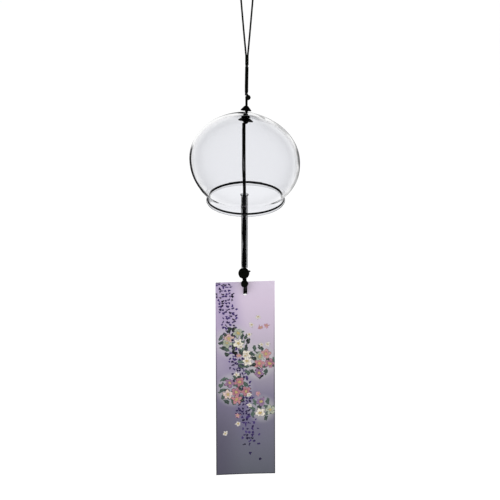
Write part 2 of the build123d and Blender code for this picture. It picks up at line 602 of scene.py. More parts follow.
def open_group(
    name: str, inputs: tuple[str, ...], outputs: tuple[str, ...]
) -> tuple[Graph, dict[str, Socket], Node]:
    """Starts the node group of a scattered motif.

    Args:
        name: The group's name.
        inputs: The names of its value inputs after Place, Cell and Seed.
        outputs: The names of its value outputs before Centre.

    Returns:
        Its graph, its input sockets by name and its output node.
    """
    tree = bpy.data.node_groups.new(name, "ShaderNodeTree")
    tree.interface.new_socket("Place", in_out="INPUT", socket_type="NodeSocketVector")
    for label in ("Cell", "Seed", *inputs):
        tree.interface.new_socket(label, in_out="INPUT", socket_type="NodeSocketFloat")
    for label in outputs:
        tree.interface.new_socket(label, in_out="OUTPUT", socket_type="NodeSocketFloat")
    tree.interface.new_socket("Centre", in_out="OUTPUT", socket_type="NodeSocketVector")
    graph = Graph(tree)
    entry = graph.node("NodeGroupInput")
    return graph, {s.name: s for s in entry.outputs if s.name}, graph.node("NodeGroupOutput")


def scatter(graph: Graph, given: dict[str, Socket], out: Node) -> tuple[Socket, Socket, list[Socket]]:
    """Each place's nearest scattered centre.

    Args:
        graph: The group's graph.
        given: The group's inputs, with Place, Cell and Seed.
        out: The group's output node, which gets the centre.

    Returns:
        The place seen from that centre across and down, and three random values.
    """
    seed_slant, stray = 1.7, 0.6
    cell = graph.point(X=given["Cell"], Y=given["Cell"], Z=given["Cell"])
    shift = graph.point(X=given["Seed"], Y=graph.times(given["Seed"], seed_slant))
    moved = graph.vector("ADD", graph.vector("DIVIDE", given["Place"], cell), shift)
    cells = graph.node("ShaderNodeTexVoronoi", voronoi_dimensions="2D", feature="F1")
    graph.fed(cells, Vector=moved, Scale=1.0, Randomness=stray)
    local = graph.vector("MULTIPLY", graph.vector("SUBTRACT", moved, cells.outputs["Position"]), cell)
    graph.put(graph.vector("SUBTRACT", given["Place"], local), out.inputs["Centre"])
    parts = graph.axes(local)
    chance = graph.fed(graph.node("ShaderNodeSeparateColor"), Color=cells.outputs["Color"])
    return parts["X"], parts["Y"], list(chance.outputs)


def blossom_group() -> bpy.types.NodeTree:
    """Scattered flowers: masks of petals and eye, the tone from eye to tip, and two random values.

    Returns:
        The node group.
    """
    notch, eye_share = 0.45, 0.27
    petal_edge, eye_edge = (-0.08, 0.1), (-0.06, 0.08)
    graph, given, out = open_group(
        "scattered_flowers", ("Petals", "Size"), ("Petal", "Eye", "Tone", "Pick", "Other")
    )
    across, down, chance = scatter(graph, given, out)
    turn = graph.math("ADD", graph.math("ARCTAN2", down, across), graph.times(chance[0], TURN))
    squares = graph.math("ADD", graph.math("POWER", across, 2.0), graph.math("POWER", down, 2.0))
    reach = graph.math("SQRT", squares)
    wave = graph.math("COSINE", graph.times(turn, given["Petals"]))
    lobe = graph.math("SQRT", graph.math("MULTIPLY_ADD", wave, 0.5, 0.5))
    edge = graph.times(given["Size"], graph.math("MULTIPLY_ADD", lobe, notch, 1 - notch))
    eye = graph.times(given["Size"], eye_share)
    graph.fed(
        out,
        Petal=graph.step(graph.math("SUBTRACT", edge, reach), *petal_edge),
        Eye=graph.step(graph.math("SUBTRACT", eye, reach), *eye_edge),
        Tone=graph.math("DIVIDE", reach, edge, clamp=True),
        Pick=chance[1],
        Other=chance[2],
    )
    return graph.tree


def leaf_group() -> bpy.types.NodeTree:
    """Scattered pointed leaves: masks of the leaf and its midrib, and a random value.

    Returns:
        The node group.
    """
    leaf_edge, rib_edge = (-0.05, 0.12), (0.04, 0.16)
    graph, given, out = open_group("scattered_leaves", ("Length", "Width"), ("Leaf", "Rib", "Pick"))
    across, down, chance = scatter(graph, given, out)
    turn = graph.times(chance[0], TURN)
    cosine, sine = graph.math("COSINE", turn), graph.math("SINE", turn)
    along = graph.math("ADD", graph.times(across, cosine), graph.times(down, sine))
    beside = graph.math("SUBTRACT", graph.times(down, cosine), graph.times(across, sine))
    beside = graph.math("ABSOLUTE", beside)
    share = graph.math("POWER", graph.math("DIVIDE", along, given["Length"]), 2.0)
    half = graph.times(given["Width"], graph.math("SUBTRACT", 1.0, share))
    graph.fed(
        out,
        Leaf=graph.step(graph.math("SUBTRACT", half, beside), *leaf_edge),
        Rib=graph.fade(beside, *rib_edge),
        Pick=chance[1],
    )
    return graph.tree


@dataclass(frozen=True)
class Finish:
    """A plain finish: a colour, how rough it is and how much it lets through."""

    name: str
    colour: Colour
    roughness: float
    specular: float = 0.5
    through: float = 0.0
    bends_light: float = 1.5

    def start(self) -> tuple[Material, Graph, Node]:
        """Makes the material.

        Returns:
            The material, its graph and its main shader.
        """
        made = bpy.data.materials.new(self.name)
        made.use_nodes = True
        main = made.node_tree.nodes["Principled BSDF"]
        main.inputs["Base Color"].default_value = self.colour
        main.inputs["Roughness"].default_value = self.roughness
        main.inputs["Specular IOR Level"].default_value = self.specular
        main.inputs["Transmission Weight"].default_value = self.through
        main.inputs["IOR"].default_value = self.bends_light
        return made, Graph(made.node_tree), main

    def material(self) -> Material:
        """The finished material."""
        return self.start()[0]


@dataclass(frozen=True)
class CordFinish(Finish):
    """Black cord with the slanting ridges of its lay, and painted shade that darkens the grooves between
    them.
    """

    lay_mm: float = 1.3
    plies: int = 2
    # Painted shade: the darker colour painted into the grooves of the lay.
    painted_groove_shade: Colour = srgb(5, 6, 4)
    strength: float = 0.6
    depth: float = 0.12 * MM

    def material(self) -> Material:
        """The finished material.

        Returns:
            The material.
        """
        made, graph, main = self.start()
        place = graph.axes(graph.node("ShaderNodeUVMap", uv_map="place").outputs[0])
        turn = graph.times(place["X"], TURN * self.plies)
        slant = graph.math("ADD", turn, graph.times(place["Y"], TURN / self.lay_mm))
        ridge = graph.math("MULTIPLY_ADD", graph.math("SINE", slant), 0.5, 0.5)
        # Painted shade: the colour darkens from each ridge into the groove beside it.
        graph.put(graph.mix(ridge, self.painted_groove_shade, self.colour), main.inputs["Base Color"])
        graph.relief(ridge, self.strength, self.depth, main)
        return made


@dataclass(frozen=True)
class BellGlassFinish(Finish):
    """Clear glass, with painted shade along its thicker lip: each dark line there is painted into its
    colour, for the dark edge that refraction shows.

    Each line has its height and half its width, in millimetres, and its strength. The glass turns
    frosted between two strengths.
    """

    painted_shade_lines: tuple[Triple, ...] = ((-165.55, 0.7, 1.0), (-167.6, 0.16, 0.35))
    # Painted shade: the colour painted along the lip for its dark refraction edge.
    dark: Colour = (0.0, 0.0, 0.0, 1.0)
    soft: float = 0.2
    frosted: float = 0.7
    frosts: Span = (0.6, 0.9)

    def material(self) -> Material:
        """The finished material.

        Returns:
            The material.
        """
        made, graph, main = self.start()
        height = graph.axes(graph.node("ShaderNodeTexCoord").outputs["Object"])["Z"]
        painted_shade_lines: object = 0.0
        for middle, half, strength in self.painted_shade_lines:
            away = graph.math("ABSOLUTE", graph.math("SUBTRACT", height, middle * MM))
            near = graph.fade(away, half * (1 - self.soft) * MM, half * (1 + self.soft) * MM)
            painted_shade_lines = graph.math("MAXIMUM", painted_shade_lines, graph.times(near, strength))
        # Painted shade: the lip's dark refraction edge is painted into the base colour.
        graph.put(graph.mix(painted_shade_lines, self.colour, self.dark), main.inputs["Base Color"])
        graph.put(graph.times(graph.step(painted_shade_lines, *self.frosts), self.frosted), main.inputs["Roughness"])
        return made


@dataclass(frozen=True)
class Motif:
    """A scattered flower of the print: its spacing, seed, petals and size in millimetres."""

    cell: float
    seed: float
    petals: float
    size: float

    def drawn(self, graph: Graph, flowers: bpy.types.NodeTree, place: Socket) -> Outputs:
        """The masks and random values of the motif at each place.

        Args:
            graph: The material's graph.
            flowers: The node group of the flowers.
            place: The places on the strip.

        Returns:
            The group's outputs.
        """
        made = graph.node("ShaderNodeGroup", node_tree=flowers)
        graph.fed(made, Place=place, Cell=self.cell, Seed=self.seed, Petals=self.petals, Size=self.size)
        return made.outputs


@dataclass(frozen=True)
class Lane:
    """A slanting lane down the strip: its slope, its start, and where its edge fades, in millimetres."""

    slope: float
    start: float
    near: float
    far: float

    def mask(self, graph: Graph, place: Outputs) -> Socket:
        """Tells which places lie in the lane.

        Args:
            graph: The material's graph.
            place: The parts of the places on the strip.

        Returns:
            The mask.
        """
        middle = graph.math("MULTIPLY_ADD", place["Y"], self.slope, self.start)
        away = graph.math("ABSOLUTE", graph.math("SUBTRACT", place["X"], middle))
        return graph.fade(away, self.near, self.far)


@dataclass(frozen=True)
class Tint:
    """A colour laid over another one, and how strong it is where its mask is full."""

    strength: float
    colour: Colour

    def over(self, graph: Graph, under: Socket, mask: Socket) -> Socket:
        """The colour under it, tinted where the mask says so."""
        return graph.mix(graph.times(mask, self.strength), under, self.colour)


@dataclass(frozen=True)
class PaperFinish(Finish):
    """Printed card: a lilac to slate ground with flower heads, leaves, blossoms and falling petals.

    Each flower head has its place across and down the strip and its radius. Spans tell where a mask
    rises or fades, across or down the strip, or on a petal from eye to tip. Lengths are in
    millimetres, apart from the relief's depth.
    """

    heads: tuple[Triple, ...] = (
        (-9.0, 46.0, 9.5),
        (8.0, 62.0, 10.0),
        (-8.0, 83.0, 9.0),
        (12.0, 99.0, 6.0),
    )
    glow: float = 6.5
    glow_tint: Tint = Tint(0.35, srgb(196, 196, 190))
    left_across: Span = (-22.0, 4.0)
    left_down: Span = (50.0, 110.0)
    left_tint: Tint = Tint(0.3, srgb(122, 100, 160))
    haze: Lane = Lane(0.16, -16.0, 2.0, 13.0)
    haze_down: Span = (90.0, 135.0)
    haze_tint: Tint = Tint(0.25, srgb(98, 76, 146))
    corner_across: Span = (-20.0, 2.0)
    corner_down: Span = (70.0, 130.0)
    corner_tint: Tint = Tint(0.5, srgb(70, 62, 84))
    rim_width: Span = (0.3, 1.1)
    rim_down: Span = (0.0, 90.0)
    rim_tint: Tint = Tint(0.8, srgb(40, 40, 46))
    falling: Motif = Motif(2.4, 5.0, 2.0, 1.05)
    stream: Lane = Lane(0.16, -16.0, 3.0, 9.0)
    stream_ends: Span = (96.0, 140.0)
    fallen: tuple[Colour, Colour] = (srgb(18, 12, 38), srgb(70, 52, 112))
    leaf_reach: float = 2.6
    greens: tuple[Colour, Colour] = (srgb(14, 18, 20), srgb(84, 104, 94))
    rib: Tint = Tint(0.4, srgb(150, 160, 146))
    large: Motif = Motif(7.4, 11.0, 5.0, 4.1)
    large_line: Tint = Tint(0.8, srgb(34, 32, 46))
    small: Motif = Motif(7.6, 8.0, 5.0, 2.0)
    small_line: Tint = Tint(0.55, srgb(34, 32, 46))
    strewn: Lane = Lane(-0.12, 11.0, 6.0, 15.0)
    strewn_share: float = 0.5
    strewn_begins: Span = (12.0, 30.0)
    strewn_ends: Span = (104.0, 130.0)
    pales: tuple[Colour, Colour] = (srgb(212, 206, 198), srgb(190, 142, 152))
    pink_from: float = 0.7
    deep: Tint = Tint(0.45, srgb(120, 96, 104))
    deep_ends: Span = (0.30, 0.70)
    outlined: Span = (0.80, 0.97)
    eye: Colour = srgb(176, 156, 104)
    ragged: float = 1.2
    grain: float = 0.16
    strength: float = 0.15
    depth: float = 0.1 * MM
    shades: Stops = (
        (0.0, srgb(209, 196, 214)),
        (0.10, srgb(204, 189, 208)),
        (0.22, srgb(194, 180, 199)),
        (0.42, srgb(166, 158, 171)),
        (0.60, srgb(121, 115, 136)),
        (0.82, srgb(104, 103, 118)),
        (1.0, srgb(89, 91, 101)),
    )
    palette: Stops = (
        (0.0, srgb(222, 216, 200)),
        (0.34, srgb(226, 218, 204)),
        (0.46, srgb(184, 132, 136)),
        (0.60, srgb(176, 118, 124)),
        (0.72, srgb(134, 112, 146)),
        (0.84, srgb(150, 158, 142)),
        (1.0, srgb(176, 180, 162)),
    )

    def in_heads(self, graph: Graph, place: Socket, grow: float, soft: bool = False) -> Socket:
        """Tells which places belong to the flower heads.

        Args:
            graph: The material's graph.
            place: The places on the strip.
            grow: How much wider than the heads the mask reaches.
            soft: True if it fades out over that width.

        Returns:
            The mask.
        """
        found: object = 0.0
        for across, down, radius in self.heads:
            away = graph.vector("DISTANCE", place, (across, down, 0.0), out="Value")
            far = radius + grow
            near = graph.fade(away, radius, far) if soft else graph.math("LESS_THAN", away, far)
            found = graph.math("MAXIMUM", found, near)
        return found

    def ground(self, graph: Graph, flat: Socket) -> Socket:
        """The printed ground, shaded from top to bottom, with a violet haze and darker cut edges.

        Args:
            graph: The material's graph.
            flat: The places on the strip.

        Returns:
            The colour.
        """
        place = graph.axes(flat)
        across, down = place["X"], place["Y"]
        left = graph.times(graph.fade(across, *self.left_across), graph.fade(down, *self.left_down))
        haze = graph.times(self.haze.mask(graph, place), graph.fade(down, *self.haze_down))
        corner = graph.fade(across, *self.corner_across)
        corner = graph.times(corner, graph.step(down, *self.corner_down))
        side = graph.math("SUBTRACT", STRIP_W / MM / 2, graph.math("ABSOLUTE", across))
        edge = graph.math("MINIMUM", side, graph.math("SUBTRACT", STRIP_L / MM, down))
        rim = graph.times(graph.fade(edge, *self.rim_width), graph.step(down, *self.rim_down))
        colour = graph.ramp(graph.math("DIVIDE", down, STRIP_L / MM), self.shades)
        for mask, tint in (
            (left, self.left_tint),
            (haze, self.haze_tint),
            (corner, self.corner_tint),
            (self.in_heads(graph, flat, self.glow, soft=True), self.glow_tint),
            (rim, self.rim_tint),
        ):
            colour = tint.over(graph, colour, mask)
        return colour

    def flower(self, graph: Graph, motif: Outputs, petal: Socket, line: Tint) -> Socket:
        """A flower's colours: its petals, deeper towards the eye, their dark outline and the eye.

        Args:
            graph: The material's graph.
            motif: The flower's masks.
            petal: The petals' colour.
            line: The petals' outline.

        Returns:
            The colour.
        """
        deep = graph.mix(self.deep.strength, petal, self.deep.colour, "MULTIPLY")
        petal = graph.mix(graph.step(motif["Tone"], *self.deep_ends), deep, petal)
        petal = line.over(graph, petal, graph.step(motif["Tone"], *self.outlined))
        return graph.mix(motif["Eye"], petal, self.eye)

    def print_on(self, graph: Graph, colour: Socket, place: Socket) -> Socket:
        """Prints petals, leaves and flowers on the ground.

        Args:
            graph: The material's graph.
            colour: The ground's colour.
            place: The places on the strip, slightly ragged.

        Returns:
            The colour.
        """
        flowers = blossom_group()
        falling = self.falling.drawn(graph, flowers, place)
        where = graph.axes(falling["Centre"])
        stream = graph.times(self.stream.mask(graph, where), graph.fade(where["Y"], *self.stream_ends))
        shown = graph.math("GREATER_THAN", stream, falling["Pick"])
        fallen = graph.mix(falling["Other"], *self.fallen)
        colour = graph.mix(graph.times(falling["Petal"], shown), colour, fallen)

        leaf = graph.node("ShaderNodeGroup", node_tree=leaf_group())
        leaf = graph.fed(leaf, Place=place, Cell=4.6, Seed=3.0, Length=3.1, Width=1.35).outputs
        green = self.rib.over(graph, graph.mix(leaf["Pick"], *self.greens), leaf["Rib"])
        shown = self.in_heads(graph, leaf["Centre"], self.leaf_reach)
        colour = graph.mix(graph.times(leaf["Leaf"], shown), colour, green)

        large = self.large.drawn(graph, flowers, place)
        petal = self.flower(graph, large, graph.ramp(large["Other"], self.palette), self.large_line)
        shown = self.in_heads(graph, large["Centre"], 0.0)
        colour = graph.mix(graph.times(large["Petal"], shown), colour, petal)

        small = self.small.drawn(graph, flowers, place)
        where = graph.axes(small["Centre"])
        begins = graph.step(where["Y"], *self.strewn_begins)
        ends = graph.fade(where["Y"], *self.strewn_ends)
        strewn = graph.times(self.strewn.mask(graph, where), self.strewn_share, begins, ends)
        shown = graph.math("GREATER_THAN", strewn, small["Pick"])
        pink = graph.math("GREATER_THAN", small["Other"], self.pink_from)
        petal = self.flower(graph, small, graph.mix(pink, *self.pales), self.small_line)
        return graph.mix(graph.times(small["Petal"], shown), colour, petal)

    def material(self) -> Material:
        """The finished material.

        Returns:
            The material.
        """
        made, graph, main = self.start()
        flat = graph.node("ShaderNodeUVMap", uv_map="place").outputs[0]
        ragged = graph.noise(flat, scale=0.55, detail=2.0).outputs["Color"]
        whole, back = 2 * self.ragged, -self.ragged
        push = graph.vector("MULTIPLY_ADD", ragged, (whole, whole, 0.0), (back, back, 0.0))
        colour = self.print_on(graph, self.ground(graph, flat), graph.vector("ADD", flat, push))
        grain = graph.noise(flat, scale=5.0, detail=4.0).outputs["Fac"]
        tone = graph.math("MULTIPLY_ADD", grain, self.grain, 1 - self.grain / 2)
        even = graph.point(X=tone, Y=tone, Z=tone)
        graph.put(graph.mix(1.0, colour, even, "MULTIPLY"), main.inputs["Base Color"])
        graph.relief(grain, self.strength, self.depth, main)
        return made


CORD = CordFinish("black_cord", srgb(15, 17, 11), 0.85, specular=0.06)
PLASTIC = Finish("black_plastic", srgb(5, 5, 5), 0.4, specular=0.04)
RUBBER = Finish("dark_washer", srgb(18, 18, 19), 0.6, specular=0.1)
GLASS = BellGlassFinish("blown_glass", (0.985, 0.987, 0.992, 1.0), 0.0, through=1.0, bends_light=1.46)
TUBE_GLASS = Finish("tube_glass", (0.50, 0.505, 0.51, 1.0), 0.0, through=1.0, bends_light=1.47)
PAPER = PaperFinish("printed_paper", srgb(160, 152, 170), 0.75, specular=0.25)


class KnotForm(Enum):
    """How often a knot's strand goes round, and how often it swings up and down."""

    OVERHAND = (2, 3)
    WOVEN_BALL = (3, 5)


@dataclass(frozen=True)
class Knot:
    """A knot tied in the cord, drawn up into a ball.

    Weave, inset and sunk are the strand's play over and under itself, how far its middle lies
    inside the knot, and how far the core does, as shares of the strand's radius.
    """

    form: KnotForm
    radius: float
    height: float
    strand: float
    tilt: tuple[float, float]
    swing: float = 1.2
    aside: float = 0.0
    weave: float = 0.30
    inset: float = 1.3
    sunk: float = 0.15
    steps: int = 240
    sides: int = 14

    def shape(self) -> Shape:
        """The knot's strand and the cord packed inside it.

        Returns:
            The knot.
        """
        around, times = self.form.value
        step = np.linspace(0, TURN, self.steps, endpoint=False)
        rise = self.swing * np.sin(times * step)
        over = self.weave * self.strand * np.cos(times * around * step)
        reach = self.radius - self.strand * self.inset + over
        flat = reach * np.cos(rise)
        line = np.stack(
            [flat * np.cos(around * step), flat * np.sin(around * step), reach * np.sin(rise)], axis=1
        )
        centre = (self.aside, 0, self.height)
        line = line @ rotation((self.tilt[0], "X"), (self.tilt[1], "Y")) + np.array(centre)
        core = ball(self.radius - self.strand * self.sunk, centre)
        return joined(tube(line, self.strand, self.sides, closed=True), core)


@dataclass(frozen=True)
class Turned:
    """A small turned piece on the cord, which may hang aslant.

    The outline, its corners' rounding and the pivot's height are in millimetres. The tilt lifts
    the front and the roll lowers the right side, in degrees, and the piece hangs aside to the right.
    """

    outline: Outline
    rounding: float
    pivot: float = 0.0
    tilt: float = 0.0
    roll: float = 0.0
    aside: float = 0.0
    steps: int = 4
    segments: int = 96

    def shape(self) -> Shape:
        """The piece, tipped.

        Returns:
            The piece's shape.
        """
        points, faces = lathe(rounded(self.outline, self.rounding, self.steps), self.segments)
        pivot = np.array((0, 0, self.pivot * MM))
        tipped = (points - pivot) @ rotation((self.roll, "Y"), (-self.tilt, "X"))
        return Shape().add(tipped + pivot + np.array((self.aside, 0, 0)), faces)


# Knots
TOP_KNOT = Knot(KnotForm.OVERHAND, 2.05 * MM, TOP_KNOT_Z, 0.7 * MM, (28, 18), aside=HANG_X + 1.0 * MM)
BEARING_KNOT = Knot(KnotForm.OVERHAND, 1.95 * MM, BEARING_Z, 0.66 * MM, (20, 35))
BALL_KNOT = Knot(KnotForm.WOVEN_BALL, 4.15 * MM, BALL_Z, 1.0 * MM, (24, -30), 1.3, CLAPPER_X - 0.5 * MM)
STRIP_KNOT = Knot(KnotForm.OVERHAND, 2.75 * MM, STRIP_KNOT_Z, 0.85 * MM, (62, 12), 1.3, CLAPPER_X)

# Turned pieces
CAP_TILT = 21.0
OUTER_CAP = Turned(
    ((0.95, -93.6), (1.25, -93.6), (2.5, -95.0), (3.8, -96.55), (3.8, -97.2), (0.95, -97.0)),
    0.12,
    pivot=-95.75,
    tilt=CAP_TILT,
    roll=6.0,
    aside=HANG_X - 0.3 * MM,
)
STEM = Turned(
    ((0.9, -96.0), (1.05, -96.0), (1.05, -98.7), (0.9, -98.7)),
    0.05,
    pivot=-97.0,
    aside=HANG_X,
)
WASHER = Turned(
    ((1.12, -101.8), (2.2, -101.8), (3.1, -102.35), (3.1, -102.8), (2.6, -103.2), (1.12, -103.2)),
    0.18,
    pivot=-102.5,
    tilt=8.0,
)
INNER_CAP = Turned(
    (
        (1.12, -103.3),
        (2.7, -103.3),
        (3.9, -104.05),
        (5.2, -104.95),
        (5.2, -105.7),
        (4.4, -105.85),
        (3.0, -105.6),
        (1.9, -105.2),
        (1.12, -105.2),
    ),
    0.2,
    pivot=-104.4,
    tilt=CAP_TILT,
    roll=8.5,
)
CLAPPER_TUBE = Turned(
    (
        (1.7, -219.95),
        (2.4, -219.95),
        (2.4, -164.8),
        (2.55, -164.0),
        (3.0, -163.4),
        (3.0, -163.0),
        (2.15, -163.0),
        (1.7, -164.0),
    ),
    0.3,
    aside=CLAPPER_X,
    steps=6,
)


@dataclass
class HangingCord:
    """The cord above the bell: its loop, the two strands together, and the knot.

    The neck's lean dies away and its strands cross between falls below the loop's foot, and the
    tail under the knot turns square between two heights, all in millimetres.
    """

    loop_points: tuple[Point, ...] = (
        (-0.00060, 0.0, -0.0546),
        (-0.00175, 0.0, -0.0412),
        (-0.0029, 0.0, -0.0270),
        (-0.0040, 0.0, -0.0130),
        (-0.0050, 0.0, 0.0),
        (-0.0051, 0.0, 0.0030),
        (-0.0032, 0.0, 0.0054),
        (0.0, 0.0, 0.0061),
        (0.0032, 0.0, 0.0054),
        (0.0051, 0.0, 0.0030),
        (0.0050, 0.0, 0.0),
        (0.0040, 0.0, -0.0130),
        (0.0029, 0.0, -0.0270),
        (0.00175, 0.0, -0.0412),
        (0.00060, 0.0, -0.0546),
    )
    spacing: float = 0.4 * MM
    strand: float = 0.64 * MM
    lean: float = 0.3 * MM
    neck_end: float = -85.2 * MM
    neck_steps: int = 90
    neck_spread: float = 0.6 * MM
    neck_width: float = 2.4 * MM
    lean_ends: Span = (3.0, 28.0)
    crossings: tuple[Span, Span] = ((6.4, 9.4), (27.6, 30.6))
    tail_end: float = -100.3 * MM
    tail_steps: int = 40
    tail_spread: float = 0.46 * MM
    tail_strand: float = 0.5 * MM
    tail_turn: float = 0.7
    tail_squares: Span = (-93.0, -97.5)

    def loop(self, finish: Material) -> Piece:
        """The loop over the hook, from one strand's foot to the other's.

        Args:
            finish: The cord's material.

        Returns:
            The dressed piece.
        """
        line = spaced(route(list(self.loop_points)), self.spacing)
        line = line + np.array((HANG_X + self.lean, 0, 0))
        piece = tube(line, self.strand).build("hanging_loop", finish)
        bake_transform(piece)
        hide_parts("hanging_bight", "loop_strand_left", "loop_strand_right")
        return piece

    def neck(self, finish: Material) -> Piece:
        """The two strands from the loop's foot to the knot, crossed twice on the way.

        Args:
            finish: The cord's material.

        Returns:
            The dressed piece.
        """
        height = np.linspace(MEET_Z, self.neck_end, self.neck_steps)
        fall = (MEET_Z - height) / MM
        line = upright(HANG_X + self.lean * (1 - smooth(*self.lean_ends, fall)), height)
        phase = sum(smooth(*crossing, fall) for crossing in self.crossings) * math.pi
        piece = pair(line, self.neck_spread, phase, self.strand).build("neck_cord_pair", finish)
        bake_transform(piece)
        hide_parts("neck_cord")
        return piece

    def knot(self, finish: Material) -> Piece:
        """The knot above the cap, with the cord that runs on down through the cap.

        Args:
            finish: The cord's material.

        Returns:
            The dressed piece.
        """
        height = np.linspace(TOP_KNOT_Z, self.tail_end, self.tail_steps)
        more = math.pi / 2 - self.tail_turn
        phase = self.tail_turn + more * smooth(*self.tail_squares, height / MM)
        tail = pair(upright(HANG_X, height), self.tail_spread, phase, self.tail_strand)
        piece = joined(TOP_KNOT.shape(), tail).build("top_knot_tied", finish)
        return dress(piece, "neck", "top_knot")


@dataclass
class Bell:
    """The blown glass and the black caps that hold it, in millimetres.

    Upper and lower are the globe's half heights, and the crown is drawn up to the cord hole. The
    bead along the lip is thicker than the wall, which is thinned just above it, between two heights
    above the lip. The glass is even up to a height above its lip and close round its hole. Its oval
    and ripple are shares of its size, and the ripple's twist is in radians to the metre.
    """

    radius: float = 39.4
    upper: float = 33.0
    lower: float = 35.0
    equator: float = -136.2
    neck: float = 27.3
    neck_blend: float = 4.0
    lip_z: float = -167.0
    lip: float = 1.05
    lip_out: float = 0.1
    bead_height: float = 1.6
    wall: float = 1.4
    thinned: float = 0.5
    thinned_between: Span = (11.0, 5.0)
    neck_from: float = 14.0
    crown_rise: float = 3.2
    crown_spread: float = 13.0
    hole: float = 1.4
    skew: float = 0.030
    aside: float = -0.7
    even_lip: float = 22.0
    even_hole: Span = (4.0, 16.0)
    oval: float = 0.0016
    oval_turn: float = 0.7
    ripple: float = 0.0009
    ripple_waves: int = 3
    ripple_twist: float = 95.0
    segments: int = 160
    crown_steps: int = 48
    side_steps: int = 64
    round_steps: int = 15

    def outside(self) -> np.ndarray:
        """The wall's outside from the hole down to the lip, as (radius, height) rows.

        Returns:
            The rows.
        """
        first = math.asin((self.hole + self.wall / 2) / self.radius)
        angle = np.linspace(first, math.pi / 2, self.crown_steps)
        r = self.radius * np.sin(angle)
        crown = self.crown_rise * np.exp(-((r / self.crown_spread) ** 2))
        z = self.equator + self.upper * np.cos(angle) + crown
        fall = np.linspace(0, self.equator - self.lip_z, self.side_steps)[1:]
        globe = self.radius * np.sqrt(1 - (fall / self.lower) ** 2)
        gap = globe - self.neck
        neck = (np.sqrt(gap**2 + self.neck_blend**2) - gap) / 2
        low = globe + neck * smooth(0.0, self.neck_from, fall)
        return np.stack([np.concatenate([r, low]), np.concatenate([z, self.equator - fall])], axis=1)

    def section(self) -> np.ndarray:
        """The glass's closed outline in metres, with a rounded hole and a rounded, thicker lip.

        Returns:
            The outline as (radius, height) rows.
        """
        line = self.outside()
        along = np.gradient(line, axis=0)
        along /= np.linalg.norm(along, axis=1)[:, None]
        out = np.stack([-along[:, 1], along[:, 0]], axis=1)
        bead = smooth(self.lip_z + self.bead_height, self.lip_z, line[:, 1])
        middle = line - out * (self.wall / 2 - self.lip_out * bead)[:, None]
        above, below = (self.lip_z + height for height in self.thinned_between)
        thin = self.wall / 2 - self.thinned * smooth(above, below, line[:, 1])
        half = (thin + (self.lip - thin) * bead)[:, None]
        turn = np.linspace(0, math.pi, self.round_steps)[1:-1, None]
        lip = middle[-1] + half[-1] * (out[-1] * np.cos(turn) + along[-1] * np.sin(turn))
        hole = middle[0] + half[0] * (out[0] * np.cos(turn) - along[0] * np.sin(turn))
        return np.vstack([middle + out * half, lip, (middle - out * half)[::-1], hole[::-1]]) * MM

    def blown(self, points: np.ndarray) -> np.ndarray:
        """Makes the even globe a little uneven, as blown glass is, away from its lip and hole.

        Args:
            points: The even globe's points, one row each.

        Returns:
            The uneven globe's points.
        """
        centre = np.array((0, 0, self.equator * MM))
        away = points - centre
        lean = 2 * away[:, 0] * away[:, 2] / (self.radius * MM * self.upper * MM)
        near, far = self.even_hole
        hold = smooth(self.lip_z * MM, (self.lip_z + self.even_lip) * MM, points[:, 2])
        hold = hold * smooth(near * MM, far * MM, np.hypot(points[:, 0], points[:, 1]))
        turn = np.arctan2(points[:, 1], points[:, 0])
        wave = self.oval * np.sin(2 * turn + self.oval_turn)
        wave = wave + self.ripple * np.sin(self.ripple_waves * turn + self.ripple_twist * away[:, 2])
        blown = away * (1 - (self.skew * lean - wave) * hold)[:, None] + centre
        blown[:, 0] += self.aside * MM * hold
        return blown

    def glass(self, finish: Material) -> Piece:
        """The blown glass.

        Args:
            finish: The glass's material.

        Returns:
            The dressed piece.
        """
        points, faces = lathe(self.section(), self.segments)
        piece = Shape().add(self.blown(points), faces).build("blown_glass_bell", finish, ALL_SMOOTH)
        return dress(piece, "bell", "glass_bell")

    def outer_cap(self, finish: Material) -> Piece:
        """The black umbrella cap on the glass, with its stem."""
        piece = joined(OUTER_CAP.shape(), STEM.shape()).build("outer_cap_black", finish, CRISP)
        return dress(piece, "crown", "outer_cap")

    def washer(self, finish: Material) -> Piece:
        """The dark washer against the glass."""
        piece = WASHER.shape().build("inner_washer_dark", finish, CRISP)
        return dress(piece, "swivel", "inner_washer")

    def inner_cap(self, finish: Material) -> Piece:
        """The wider umbrella cap inside the glass."""
        piece = INNER_CAP.shape().build("inner_cap_black", finish, CRISP)
        return dress(piece, "swivel", "inner_cap")


